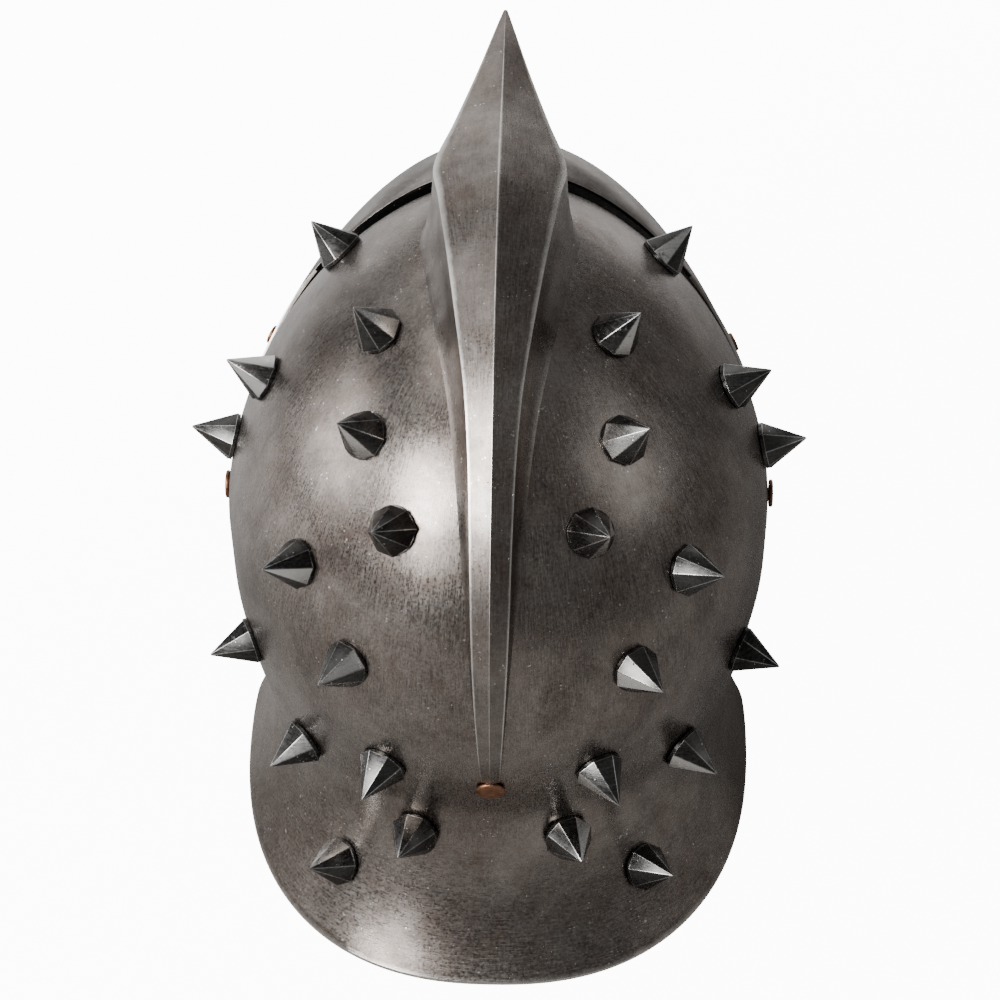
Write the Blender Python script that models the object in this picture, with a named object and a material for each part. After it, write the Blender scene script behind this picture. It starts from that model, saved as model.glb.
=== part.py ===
"""Gladiator helmet of plate steel: a hammered skull with a flared tail and an open face, a hollow
forged comb, a brow visor that stands off the forehead, copper rivets and riveted spikes.

Units are metres and +Z is up. The helmet faces -Y and stands on its own rim. It is modelled about
the bowl's middle, and then hung on an empty that puts the origin under the middle of its box.
"""

import math

import bmesh
import bpy
from mathutils import Matrix, Vector
from mathutils.bvhtree import BVHTree

# Skull
BOWL_WIDTH = 0.2205
BOWL_LENGTH = 0.266
BOWL_RISE = 0.126
WIDEST_LEVEL = 0.141
NECK_WIDTH = 0.192
NAPE_REACH = 0.116
CHIN_REACH = 0.116
RIM_WIDTH = 0.217
TAIL_REACH = 0.1445
TAIL_FRONT = 0.024
TAIL_CORNER = 0.022
RIM_LAND = 0.0015
SKULL_WALL = 0.0018
RIM_SQUARENESS = 2.35
BOWL_FULLNESS = 1.9
BOWL_SIDE_FULLNESS = 1.74

# Face opening
FACE_TOP = 0.158
FACE_SPRING = 0.112
FACE_WIDTH = 0.128
FACE_FOOT_WIDTH = 0.104

# Comb
COMB_START = -18.2
COMB_END = 122.0
COMB_TIP_RISE = 0.0685
COMB_WIDTH = 0.051
COMB_FOOT_WIDTH = 0.064
COMB_WALL = 0.002
COMB_SINK = 0.006
COMB_HOLLOW_START = 3.0
COMB_HOLLOW_END = 111.0
KEEL_SLOPE = 0.32

# Brow visor
VISOR_AXIS_Y = -0.038
VISOR_AXIS_RISE = 0.008
VISOR_REAR_LEAN = 65.0
VISOR_FRONT_LEAN = 19.0
VISOR_END_INSET = 0.0088
VISOR_REAR_STAND = 0.002
VISOR_FRONT_STAND = 0.023
VISOR_SWELL = 4.0
VISOR_TOUCH_REAR = 0.88
VISOR_TOUCH_FRONT = 0.95
VISOR_FALL_REAR = 2.25
VISOR_FALL_FRONT = 1.75
VISOR_WALL = 0.0016

# Spikes
SPIKE_WIDTH = 0.0204
SPIKE_HEIGHT = 0.0178
SPIKE_SIDES = 8
COLLAR_WIDTH = 0.0190
COLLAR_HEIGHT = 0.0013
SHANK_WIDTH = 0.0046
PEEN_WIDTH = 0.0085
PEEN_HEIGHT = 0.0012

# Copper rivets
RIVET_WIDTH = 0.0115
RIVET_HEIGHT = 0.0016
NAPE_RIVET_ANGLE = -21.4
VISOR_RIVET_WIDTH = 0.0080
VISOR_RIVET_INSET = 0.0065
VISOR_RIVET_LEANS = (34.0, 56.0)

# Fits
SEAT_GAP = 0.0003
PLATE_GAP = 0.0006
HOLE_CLEARANCE = 0.0004
PEEN_SLACK = 0.0002

# Mesh fineness
RING_SIDES = 48
BOWL_RINGS = 9
VISOR_COLUMNS = 24
VISOR_ROWS = 6
COMB_STEPS = 2
RIVET_SIDES = 12
ARCH_STEPS = 10
SKULL_SMOOTH_ANGLE = 40
TURNED_SMOOTH_ANGLE = 30

# The bowl's middle, at its widest level
BOWL_MIDDLE = Vector((0.0, 0.0, WIDEST_LEVEL))
VISOR_HALF_WIDTH = BOWL_WIDTH / 2 - VISOR_END_INSET

# The skull below its widest level. fall: share of the drop to the rim. side_in and rear_in: shares of
# the way in to the neck and the nape. side_out and rear_out: shares of the way out again to the rim.
# front_in: share of the way in to the chin. square: share of the rim's squareness.
LOWER_RINGS = (
    # fall, side_in, side_out, rear_in, rear_out, front_in, square
    (0.00, 0.00, 0.00, 0.00, 0.00, 0.00, 0.0),
    (0.10, 0.01, 0.00, 0.05, 0.00, 0.00, 0.0),
    (0.20, 0.05, 0.00, 0.20, 0.00, 0.02, 0.0),
    (0.31, 0.20, 0.00, 0.46, 0.00, 0.08, 0.0),
    (0.42, 0.40, 0.00, 0.76, 0.00, 0.20, 0.1),
    (0.51, 0.60, 0.00, 0.95, 0.00, 0.36, 0.1),
    (0.60, 0.84, 0.00, 1.00, 0.02, 0.54, 0.2),
    (0.68, 1.00, 0.02, 1.00, 0.10, 0.70, 0.3),
    (0.76, 1.00, 0.12, 1.00, 0.24, 0.82, 0.5),
    (0.84, 1.00, 0.32, 1.00, 0.43, 0.91, 0.7),
    (0.92, 1.00, 0.62, 1.00, 0.68, 0.97, 0.9),
    (1.00, 1.00, 1.00, 1.00, 1.00, 1.00, 1.0),
)

# The comb from its foot at the nape, over the crown, to its tip above the brow. way: share of its arc.
# lift: keel above the skull, share of the tip's rise. face and foot: shares of the two named widths.
COMB_SECTIONS = (
    # way, lift, face, foot
    (0.00, 0.030, 0.14, 0.13),
    (0.08, 0.080, 0.18, 0.18),
    (0.16, 0.112, 0.23, 0.23),
    (0.26, 0.143, 0.28, 0.31),
    (0.36, 0.172, 0.31, 0.41),
    (0.45, 0.203, 0.35, 0.50),
    (0.53, 0.246, 0.43, 0.60),
    (0.61, 0.300, 0.58, 0.74),
    (0.69, 0.355, 0.74, 0.86),
    (0.77, 0.420, 0.91, 0.97),
    (0.82, 0.466, 1.00, 1.00),
    (0.88, 0.560, 0.72, 0.86),
    (0.94, 0.735, 0.39, 0.52),
    (1.00, 1.000, 0.03, 0.08),
)

# The comb's concave flank, from the edge of its face down to its foot. out: share of the way out to
# the foot. up: share of the way up from the skull to the edge of the face.
COMB_FLANK = (
    # out, up
    (0.14, 0.55),
    (0.55, 0.18),
)

# The rounded head of a rivet, from its edge inwards: shares of its half-width and of its height
RIVET_HEAD = (
    # across, up
    (1.00, 0.45),
    (0.86, 0.85),
)

# Plain finishes. Each: colour, roughness
FINISHES = {
    "brushed_steel": ((0.30, 0.28, 0.27), 0.38),
    "forged_steel": ((0.26, 0.25, 0.24), 0.40),
    "visor_steel": ((0.28, 0.26, 0.25), 0.38),
    "blackened_steel": ((0.035, 0.035, 0.037), 0.35),
    "aged_copper": ((0.36, 0.17, 0.10), 0.45),
}

# One side's spikes, from the brow down to the tail, and mirrored on the other. around: degrees from
# straight behind. level: height of the seat, as a share of the height from the rim to the crown.
SPIKE_SEATS = (
    # around, level
    (118.0, 0.850),
    (61.0, 0.925),
    (88.0, 0.750),
    (41.5, 0.850),
    (91.5, 0.612),
    (24.5, 0.775),
    (46.0, 0.665),
    (65.0, 0.390),
    (30.0, 0.565),
    (47.0, 0.283),
    (23.0, 0.364),
    (17.0, 0.207),
    (36.5, 0.105),
)


def clear_scene():
    for item in list(bpy.data.objects):
        bpy.data.objects.remove(item)


def metal(name):
    """A plain metal material with the finish of this name."""
    colour, roughness = FINISHES[name]
    material = bpy.data.materials.new(name)
    material.use_nodes = True
    shader = material.node_tree.nodes["Principled BSDF"]
    shader.inputs["Base Color"].default_value = (*colour, 1.0)
    shader.inputs["Roughness"].default_value = roughness
    shader.inputs["Metallic"].default_value = 1.0
    return material


def add_piece(name, mesh, material=None, cutter=False):
    """Put a mesh into the scene as a sub-part, or as a hidden cutter."""
    piece = bpy.data.objects.new(name, mesh)
    bpy.context.scene.collection.objects.link(piece)
    if material:
        mesh.materials.append(material)
    if cutter:
        piece.hide_render = True
        piece.display_type = "WIRE"
    return piece


def mesh_from(name, points, faces, smooth_angle=None):
    """A mesh from points and faces, with its normals pointing out."""
    shape = bmesh.new()
    corners = [shape.verts.new(point) for point in points]
    for face in faces:
        shape.faces.new([corners[index] for index in face])
    bmesh.ops.recalc_face_normals(shape, faces=shape.faces)
    mesh = bpy.data.meshes.new(name)
    shape.to_mesh(mesh)
    shape.free()
    if smooth_angle is not None:
        mesh.shade_smooth()
        mesh.set_sharp_from_angle(angle=math.radians(smooth_angle))
    return mesh


def cut(piece, cutter):
    """Take the cutter's volume out of the piece."""
    boolean = piece.modifiers.new("Cut " + cutter.name, "BOOLEAN")
    boolean.operation = "DIFFERENCE"
    boolean.solver = "EXACT"
    boolean.object = cutter


def between(start, end, share):
    return start + (end - start) * share


def smooth_step(value):
    value = min(max(value, 0.0), 1.0)
    return value * value * (3.0 - 2.0 * value)


def table_row(table, share):
    """The columns of a table, between its rows, at this share of its first column."""
    for lower, upper in zip(table, table[1:]):
        if share <= upper[0]:
            break
    part = (share - lower[0]) / (upper[0] - lower[0])
    return [between(low, high, part) for low, high in zip(lower[1:], upper[1:])]


def round_share(climb, fullness):
    """How wide a rounded form still is at this share of its rise. A fullness of 2 is an ellipse."""
    return (1.0 - climb**fullness) ** (1.0 / fullness)


def skull_ring(height):
    """Half-widths, reaches and squareness of the skull's outline at a height above the rim."""
    if height >= WIDEST_LEVEL:
        climb = min((height - WIDEST_LEVEL) / BOWL_RISE, 1.0)
        half = BOWL_WIDTH / 2 * round_share(climb, BOWL_SIDE_FULLNESS)
        reach = BOWL_LENGTH / 2 * round_share(climb, BOWL_FULLNESS)
        return half, half, reach, reach, 2.0
    fall = min((WIDEST_LEVEL - height) / (WIDEST_LEVEL - RIM_LAND), 1.0)
    side_in, side_out, rear_in, rear_out, front_in, square = table_row(LOWER_RINGS, fall)
    half_front = between(BOWL_WIDTH / 2, NECK_WIDTH / 2, side_in)
    half_rear = half_front + (RIM_WIDTH - NECK_WIDTH) / 2 * side_out
    rear = between(BOWL_LENGTH / 2, NAPE_REACH, rear_in) + (TAIL_REACH - NAPE_REACH) * rear_out
    front = between(BOWL_LENGTH / 2, CHIN_REACH, front_in)
    return half_rear, half_front, rear, front, between(2.0, RIM_SQUARENESS, square)


def skull_point(around, height):
    """A point of the skull's outer face. around is measured from straight behind, towards +X."""
    half_rear, half_front, rear, front, square = skull_ring(height)
    side = math.sin(around)
    back = math.cos(around)
    reach = rear if back > 0.0 else front
    along = math.copysign(abs(back) ** (2.0 / square), back) * reach
    tail = smooth_step((along + TAIL_FRONT + TAIL_CORNER) / TAIL_CORNER)
    half = between(half_front, half_rear, tail)
    across = math.copysign(abs(side) ** (2.0 / square), side) * half
    return Vector((across, along, height))


def skull_normal(around, height):
    """The outward normal of the skull's outer face, from its slopes at that point."""
    step = 0.02
    rise = 0.002
    turn = skull_point(around + step, height) - skull_point(around - step, height)
    climb = skull_point(around, height + rise) - skull_point(around, height - rise)
    return climb.cross(turn).normalized()


def ring_heights():
    """Heights of the skull's rings, from the lowest, which is below the rim, up to the highest."""
    fall_height = WIDEST_LEVEL - RIM_LAND
    heights = [-2 * SKULL_WALL]
    heights += [WIDEST_LEVEL - fall_height * row[0] for row in reversed(LOWER_RINGS)]
    for ring in range(1, BOWL_RINGS):
        angle = math.pi / 2 * ring / BOWL_RINGS
        heights.append(WIDEST_LEVEL + BOWL_RISE * math.sin(angle))
    return heights


def skull_sheet(name, grow=0.0, closed_below=False):
    """The skull's outer face as an open sheet, or grown and closed below as a solid plug."""
    points = []
    for height in ring_heights():
        for column in range(RING_SIDES):
            around = 2 * math.pi * column / RING_SIDES
            point = skull_point(around, height)
            points.append(point + skull_normal(around, max(height, RIM_LAND)) * grow)
    points.append(Vector((0.0, 0.0, WIDEST_LEVEL + BOWL_RISE + grow)))
    faces = []
    rings = len(ring_heights())
    for ring in range(rings - 1):
        for column in range(RING_SIDES):
            beside = (column + 1) % RING_SIDES
            low = ring * RING_SIDES
            high = low + RING_SIDES
            faces.append((low + column, low + beside, high + beside, high + column))
    last = (rings - 1) * RING_SIDES
    for column in range(RING_SIDES):
        faces.append((last + column, last + (column + 1) % RING_SIDES, len(points) - 1))
    if closed_below:
        faces.append(tuple(range(RING_SIDES)))
    return mesh_from(name, points, faces, SKULL_SMOOTH_ANGLE)


def face_cutter():
    """An arched block that cuts the face opening, from in front of the helmet to its middle."""
    half = FACE_WIDTH / 2
    foot = FACE_FOOT_WIDTH / 2
    margin = 0.02
    outline = [(foot, -margin), (half, FACE_SPRING)]
    for step in range(1, ARCH_STEPS):
        angle = math.pi * step / ARCH_STEPS
        outline.append((half * math.cos(angle), between(FACE_SPRING, FACE_TOP, math.sin(angle))))
    outline += [(-half, FACE_SPRING), (-foot, -margin)]
    points = [(x, -BOWL_LENGTH, z) for x, z in outline] + [(x, 0.0, z) for x, z in outline]
    count = len(outline)
    faces = [tuple(range(count)), tuple(range(count, 2 * count))]
    for corner in range(count):
        after = (corner + 1) % count
        faces.append((corner, after, count + after, count + corner))
    return add_piece("cut_face", mesh_from("cut_face", points, faces), cutter=True)


def floor_cutter():
    """A block that trims the rim flat where the helmet stands."""
    shape = bmesh.new()
    size = 2 * BOWL_LENGTH
    depth = 0.05
    place = Matrix.Translation((0.0, 0.0, -depth / 2)) @ Matrix.Diagonal((size, size, depth, 1.0))
    bmesh.ops.create_cube(shape, size=1.0, matrix=place)
    mesh = bpy.data.meshes.new("cut_floor")
    shape.to_mesh(mesh)
    shape.free()
    return add_piece("cut_floor", mesh, cutter=True)


def seat_matrix(point, axis):
    """Places a turned piece whose own +Z is its axis: +Z outward, +X as level as can be."""
    level = Vector((0.0, 0.0, 1.0)).cross(axis).normalized()
    upward = axis.cross(level)
    turn = Matrix((level, upward, axis)).transposed().to_4x4()
    return Matrix.Translation(point) @ turn


def surface_heights(surface, place, radius):
    """Lowest and highest height of a surface under a round foot, along the foot's own axis. Where the
    foot hangs over the surface's edge, there is nothing to clear."""
    sample_from = 0.02
    rings = 2
    samples = 16
    axis = place.to_3x3() @ Vector((0.0, 0.0, 1.0))
    back = place.inverted()
    heights = []
    for ring in range(rings + 1):
        for sample in range(samples):
            angle = 2 * math.pi * sample / samples
            out = radius * ring / rings
            above = Vector((out * math.cos(angle), out * math.sin(angle), sample_from))
            found = surface.ray_cast(place @ above, -axis)[0]
            if found:
                heights.append((back @ found).z)
    return min(heights), max(heights)


def seat(surface, place, radius, walls):
    """The lift that clears the surface under a head, and the grip down to its peened end."""
    lift = surface_heights(surface, place, radius)[1] + SEAT_GAP
    lowest = surface_heights(surface, place, PEEN_WIDTH / 2)[0]
    return lift, lift - lowest + walls + SEAT_GAP + PEEN_SLACK


def skull_seat(around, height):
    return seat_matrix(skull_point(around, height), skull_normal(around, height))


def turned_mesh(name, profile, sides, tip=None):
    """A turned solid from its profile of radius and height, bottom to top, closed at both ends."""
    points = []
    for radius, height in profile:
        for side in range(sides):
            angle = 2 * math.pi * (side + 0.5) / sides
            points.append((radius * math.cos(angle), radius * math.sin(angle), height))
    faces = [tuple(range(sides))]
    for ring in range(len(profile) - 1):
        for side in range(sides):
            after = (side + 1) % sides
            low = ring * sides
            high = low + sides
            faces.append((low + side, low + after, high + after, high + side))
    top = (len(profile) - 1) * sides
    if tip is None:
        faces.append(tuple(range(top, top + sides)))
    else:
        points.append((0.0, 0.0, tip))
        faces += [(top + side, top + (side + 1) % sides, len(points) - 1) for side in range(sides)]
    return mesh_from(name, points, faces, TURNED_SMOOTH_ANGLE)


def shank_profile(grip):
    """The hidden part of a spike or rivet: the peened end inside the wall, then the shank."""
    return [
        (PEEN_WIDTH / 2 - PEEN_HEIGHT / 2, -grip - PEEN_HEIGHT),
        (PEEN_WIDTH / 2, -grip),
        (SHANK_WIDTH / 2, -grip),
    ]


def spike_mesh(name, grip):
    profile = shank_profile(grip) + [
        (SHANK_WIDTH / 2, 0.0),
        (COLLAR_WIDTH / 2, 0.0),
        (COLLAR_WIDTH / 2, COLLAR_HEIGHT),
        (SPIKE_WIDTH / 2, COLLAR_HEIGHT),
    ]
    return turned_mesh(name, profile, SPIKE_SIDES, tip=COLLAR_HEIGHT + SPIKE_HEIGHT)


def rivet_mesh(name, grip, width=RIVET_WIDTH):
    """A low round head on its shank, with the edge of the head rounded over."""
    profile = shank_profile(grip) + [
        (SHANK_WIDTH / 2, 0.0),
        (width / 2, 0.0),
    ]
    profile += [(width / 2 * across, RIVET_HEIGHT * up) for across, up in RIVET_HEAD]
    return turned_mesh(name, profile, RIVET_SIDES, tip=RIVET_HEIGHT)


class HoleDrill:
    """Collects the holes that shanks pass through, as one hidden cutter."""

    reach = 0.008
    sides = 8

    def __init__(self):
        self.shape = bmesh.new()

    def drill(self, place):
        radius = SHANK_WIDTH / 2 + HOLE_CLEARANCE
        bmesh.ops.create_cone(
            self.shape,
            cap_ends=True,
            segments=self.sides,
            radius1=radius,
            radius2=radius,
            depth=2 * self.reach,
            matrix=place,
        )

    def cutter(self, name):
        mesh = bpy.data.meshes.new(name)
        self.shape.to_mesh(mesh)
        self.shape.free()
        return add_piece(name, mesh, cutter=True)


def add_fastener(name, mesh_maker, surface, place, radius, walls, material):
    """Seat a spike or a rivet on a surface, with its peened end under the walls."""
    lift, grip = seat(surface, place, radius, walls)
    piece = add_piece(name, mesh_maker(name, grip), material)
    piece.matrix_world = place @ Matrix.Translation((0.0, 0.0, lift))


def add_spikes(surface, drill, material):
    for side_name, mirror in (("left", 1.0), ("right", -1.0)):
        for number, (around, level) in enumerate(SPIKE_SEATS, start=1):
            height = level * (WIDEST_LEVEL + BOWL_RISE)
            place = skull_seat(mirror * math.radians(around), height)
            name = f"spike_{side_name}_{number:02d}"
            add_fastener(name, spike_mesh, surface, place, COLLAR_WIDTH / 2, SKULL_WALL, material)
            drill.drill(place)


def add_skull_rivets(surface, drill, material):
    """The copper rivet at the comb's foot, and one on each side at the widest level."""
    nape = math.radians(NAPE_RIVET_ANGLE)
    seats = (
        ("rivet_nape", 0.0, WIDEST_LEVEL + bowl_distance(nape) * math.sin(nape)),
        ("rivet_left", math.pi / 2, WIDEST_LEVEL),
        ("rivet_right", -math.pi / 2, WIDEST_LEVEL),
    )
    for name, around, height in seats:
        place = skull_seat(around, height)
        add_fastener(name, rivet_mesh, surface, place, RIVET_WIDTH / 2, SKULL_WALL, material)
        drill.drill(place)


def bowl_distance(angle):
    """From the bowl's middle to its outer face, in the plane of symmetry, angle from the rear."""
    power = BOWL_FULLNESS if angle > 0.0 else 2.0
    along = abs(math.cos(angle)) / (BOWL_LENGTH / 2)
    up = abs(math.sin(angle)) / BOWL_RISE
    return (along**power + up**power) ** (-1.0 / power)


def smooth_rows(table, steps):
    """The table's rows with more between them, on a smooth curve through them."""
    rows = []
    for index in range(len(table) - 1):
        before = table[max(index - 1, 0)]
        start, end = table[index], table[index + 1]
        after = table[min(index + 2, len(table) - 1)]
        for step in range(steps):
            t = step / steps
            row = []
            for p0, p1, p2, p3 in zip(before, start, end, after):
                curve = 2 * p1 + (p2 - p0) * t
                curve += (2 * p0 - 5 * p1 + 4 * p2 - p3) * t**2
                curve += (3 * p1 - p0 - 3 * p2 + p3) * t**3
                row.append(curve / 2)
            rows.append(row)
    rows.append(list(table[-1]))
    return rows


def comb_section(way, lift, face, foot, wall):
    """One section of the comb, in the plane through the bowl's middle at this share of its arc."""
    angle = math.radians(between(COMB_START, COMB_END, way))
    skull = bowl_distance(angle)
    half_face = COMB_WIDTH / 2 * face
    half_foot = COMB_FOOT_WIDTH / 2 * foot
    keel = skull + COMB_TIP_RISE * lift
    shoulder = keel - half_face * KEEL_SLOPE
    keel -= wall
    shoulder -= wall
    half_face -= wall
    half_foot -= wall
    sunk = skull - half_foot**2 / BOWL_WIDTH - COMB_SINK
    side = [(half_face, shoulder)]
    side += [(between(half_face, half_foot, out), between(skull, shoulder, up)) for out, up in COMB_FLANK]
    side.append((half_foot, sunk))
    outline = [(0.0, keel)] + side + [(-x, radius) for x, radius in reversed(side)]
    direction = Vector((0.0, math.cos(angle), math.sin(angle)))
    return [BOWL_MIDDLE + direction * radius + Vector((x, 0.0, 0.0)) for x, radius in outline]


def comb_loft(name, wall=0.0, start=COMB_START, end=COMB_END):
    """The comb as a solid through its sections, or with a wall, the space inside it."""
    arc = COMB_END - COMB_START
    points = []
    count = 0
    for way, lift, face, foot in smooth_rows(COMB_SECTIONS, COMB_STEPS):
        if start <= COMB_START + arc * way <= end:
            section = comb_section(way, lift, face, foot, wall)
            points += section
            count += 1
    size = len(section)
    faces = [tuple(range(size)), tuple(range((count - 1) * size, count * size))]
    for ring in range(count - 1):
        for corner in range(size):
            after = (corner + 1) % size
            low = ring * size
            high = low + size
            faces.append((low + corner, low + after, high + after, high + corner))
    return mesh_from(name, points, faces)


def add_comb(material):
    comb = add_piece("comb", comb_loft("comb"), material)
    hollow = comb_loft("cut_comb_hollow", COMB_WALL, COMB_HOLLOW_START, COMB_HOLLOW_END)
    cut(comb, add_piece("cut_comb_hollow", hollow, cutter=True))
    plug = skull_sheet("cut_comb_seat", grow=SEAT_GAP, closed_below=True)
    cut(comb, add_piece("cut_comb_seat", plug, cutter=True))


def visor_line(across, lean):
    """Start and direction of the line from the visor's axis that leans by this many degrees."""
    start = BOWL_MIDDLE + Vector((across, VISOR_AXIS_Y, VISOR_AXIS_RISE))
    angle = math.radians(lean)
    return start, Vector((0.0, -math.cos(angle), math.sin(angle)))


def visor_point(surface, across, row):
    """A point of the visor's inner face. row runs from its rear edge, 0, to its front edge, 1."""
    start, direction = visor_line(across, between(VISOR_REAR_LEAN, VISOR_FRONT_LEAN, row))
    on_skull, outward = surface.ray_cast(start, direction)[:2]
    stand = between(VISOR_REAR_STAND, VISOR_FRONT_STAND, 1.0 - (1.0 - row) ** VISOR_SWELL)
    touch = VISOR_HALF_WIDTH * between(VISOR_TOUCH_REAR, VISOR_TOUCH_FRONT, row)
    fall = between(VISOR_FALL_REAR, VISOR_FALL_FRONT, row)
    part = max(1.0 - (abs(across) / touch) ** fall, 0.0)
    return on_skull + outward * PLATE_GAP + direction * stand * part


def add_visor(surface, material):
    points = []
    for row in range(VISOR_ROWS + 1):
        for column in range(VISOR_COLUMNS + 1):
            turn = math.pi / 2 * (2 * column / VISOR_COLUMNS - 1)
            across = VISOR_HALF_WIDTH * math.sin(turn)
            points.append(visor_point(surface, across, row / VISOR_ROWS))
    faces = []
    width = VISOR_COLUMNS + 1
    for row in range(VISOR_ROWS):
        for column in range(VISOR_COLUMNS):
            corner = row * width + column
            faces.append((corner, corner + width, corner + width + 1, corner + 1))
    mesh = mesh_from("brow_visor", points, faces, SKULL_SMOOTH_ANGLE)
    visor = add_piece("brow_visor", mesh, material)
    plate = visor.modifiers.new("Plate", "SOLIDIFY")
    plate.thickness = VISOR_WALL
    plate.offset = 1.0
    plate.use_even_offset = True
    return visor


def visor_rivet_mesh(name, grip):
    return rivet_mesh(name, grip, VISOR_RIVET_WIDTH)


def add_visor_rivets(surface, drill, visor_drill, material):
    walls = SKULL_WALL + VISOR_WALL + 2 * PLATE_GAP
    radius = VISOR_RIVET_WIDTH / 2
    for side_name, mirror in (("left", 1.0), ("right", -1.0)):
        for number, lean in enumerate(VISOR_RIVET_LEANS, start=1):
            start, direction = visor_line(mirror * (VISOR_HALF_WIDTH - VISOR_RIVET_INSET), lean)
            middle, axis = surface.ray_cast(start + direction * BOWL_LENGTH, -direction)[:2]
            place = seat_matrix(middle, axis)
            name = f"visor_rivet_{side_name}_{number}"
            add_fastener(name, visor_rivet_mesh, surface, place, radius, walls, material)
            drill.drill(place)
            visor_drill.drill(place)


def evaluated_surface(piece):
    """A piece's surface as its modifiers leave it, to seat other pieces on."""
    depsgraph = bpy.context.evaluated_depsgraph_get()
    return BVHTree.FromObject(piece, depsgraph)


def centre_on_origin():
    """Hang every piece and cutter on one empty, and set it so that the helmet's box is centred."""
    bpy.context.view_layer.update()
    depsgraph = bpy.context.evaluated_depsgraph_get()
    reaches = []
    pieces = list(bpy.data.objects)
    for piece in pieces:
        if not piece.hide_render:
            shape = piece.evaluated_get(depsgraph)
            reaches += [(shape.matrix_world @ Vector(corner)).y for corner in shape.bound_box]
    helmet = bpy.data.objects.new("helmet", None)
    bpy.context.scene.collection.objects.link(helmet)
    for piece in pieces:
        piece.parent = helmet
    helmet.location.y = -(min(reaches) + max(reaches)) / 2


def build():
    clear_scene()
    black_steel = metal("blackened_steel")
    copper = metal("aged_copper")

    skull = add_piece("skull", skull_sheet("skull"), metal("brushed_steel"))
    bpy.context.view_layer.update()
    skull_surface = evaluated_surface(skull)
    wall = skull.modifiers.new("Wall", "SOLIDIFY")
    wall.thickness = SKULL_WALL
    wall.offset = -1.0
    wall.use_even_offset = True
    cut(skull, floor_cutter())
    cut(skull, face_cutter())

    add_comb(metal("forged_steel"))
    visor = add_visor(skull_surface, metal("visor_steel"))
    bpy.context.view_layer.update()
    visor_surface = evaluated_surface(visor)

    skull_drill = HoleDrill()
    visor_drill = HoleDrill()
    add_spikes(skull_surface, skull_drill, black_steel)
    add_skull_rivets(skull_surface, skull_drill, copper)
    add_visor_rivets(visor_surface, skull_drill, visor_drill, copper)
    cut(skull, skull_drill.cutter("cut_skull_holes"))
    cut(visor, visor_drill.cutter("cut_visor_holes"))
    centre_on_origin()


build()
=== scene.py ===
import math

import bmesh
import bpy
import numpy as np
from mathutils import Matrix, Vector, noise


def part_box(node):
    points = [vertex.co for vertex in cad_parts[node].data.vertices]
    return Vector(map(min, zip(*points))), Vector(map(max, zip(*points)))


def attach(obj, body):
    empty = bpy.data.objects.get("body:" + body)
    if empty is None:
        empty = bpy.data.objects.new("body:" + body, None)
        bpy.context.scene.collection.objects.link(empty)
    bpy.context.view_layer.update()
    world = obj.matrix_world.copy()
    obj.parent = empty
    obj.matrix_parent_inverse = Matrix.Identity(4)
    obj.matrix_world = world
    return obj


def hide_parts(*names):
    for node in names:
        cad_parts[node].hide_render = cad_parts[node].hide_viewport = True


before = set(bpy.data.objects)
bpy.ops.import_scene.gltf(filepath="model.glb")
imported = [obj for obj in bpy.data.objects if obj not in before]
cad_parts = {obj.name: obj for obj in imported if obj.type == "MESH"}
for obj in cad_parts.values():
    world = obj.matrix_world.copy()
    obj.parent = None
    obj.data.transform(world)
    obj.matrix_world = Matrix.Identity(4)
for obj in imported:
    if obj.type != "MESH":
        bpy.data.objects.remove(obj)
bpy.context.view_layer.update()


# Skull. One steel plate, hammered into a bowl with a narrow neck and a tail that flares out behind.
# The face is cut out as an arch. The rim is cut flat and filed bright, and the outside is brushed
# up and down, round the tail along it, and left to tone to a brown grey.
SKULL_WALL = 0.0018
SKULL_COLUMNS = 216
RIM_LAND = 0.0015
WIDEST_LEVEL = 0.141
BOWL_RISE = 0.126
BOWL_HALF_WIDTH = 0.11025
BOWL_HALF_LENGTH = 0.133
BOWL_FULLNESS = 1.9
BOWL_SIDE_FULLNESS = 1.74
NECK_HALF_WIDTH = 0.096
NAPE_REACH = 0.116
CHIN_REACH = 0.116
RIM_HALF_WIDTH = 0.1085
RIM_SQUARENESS = 2.35
TAIL_REACH = 0.1445
TAIL_FRONT = 0.024
TAIL_CORNER = 0.022
LOWER_RINGS = (
    # fall to the rim, then shares: neck in, rim out, nape in, tail out, chin in, squareness
    (0.00, 0.00, 0.00, 0.00, 0.00, 0.00, 0.0),
    (0.10, 0.01, 0.00, 0.05, 0.00, 0.00, 0.0),
    (0.20, 0.05, 0.00, 0.20, 0.00, 0.02, 0.0),
    (0.31, 0.20, 0.00, 0.46, 0.00, 0.08, 0.0),
    (0.42, 0.40, 0.00, 0.76, 0.00, 0.20, 0.1),
    (0.51, 0.60, 0.00, 0.95, 0.00, 0.36, 0.1),
    (0.60, 0.84, 0.00, 1.00, 0.02, 0.54, 0.2),
    (0.68, 1.00, 0.02, 1.00, 0.10, 0.70, 0.3),
    (0.76, 1.00, 0.12, 1.00, 0.24, 0.82, 0.5),
    (0.84, 1.00, 0.32, 1.00, 0.43, 0.91, 0.7),
    (0.92, 1.00, 0.62, 1.00, 0.68, 0.97, 0.9),
    (1.00, 1.00, 1.00, 1.00, 1.00, 1.00, 1.0),
)
FACE_HALF_WIDTH = 0.064
FACE_FOOT_HALF_WIDTH = 0.052
FACE_SPRING = 0.112
FACE_TOP = 0.158
ARCH_STEPS = 28
WALL_ROWS = 56
BOWL_ROWS = 50
DENT_DEPTH = 0.00032
DENT_SIZE = 0.034
DENT_FADE = 0.012
PLATE_EDGE = 0.0004

skull_middle = Vector((0.0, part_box("skull")[1].y - TAIL_REACH, WIDEST_LEVEL))


def between(start, end, share):
    return start + (end - start) * share


def smooth_step(value):
    value = min(max(value, 0.0), 1.0)
    return value * value * (3.0 - 2.0 * value)


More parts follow.
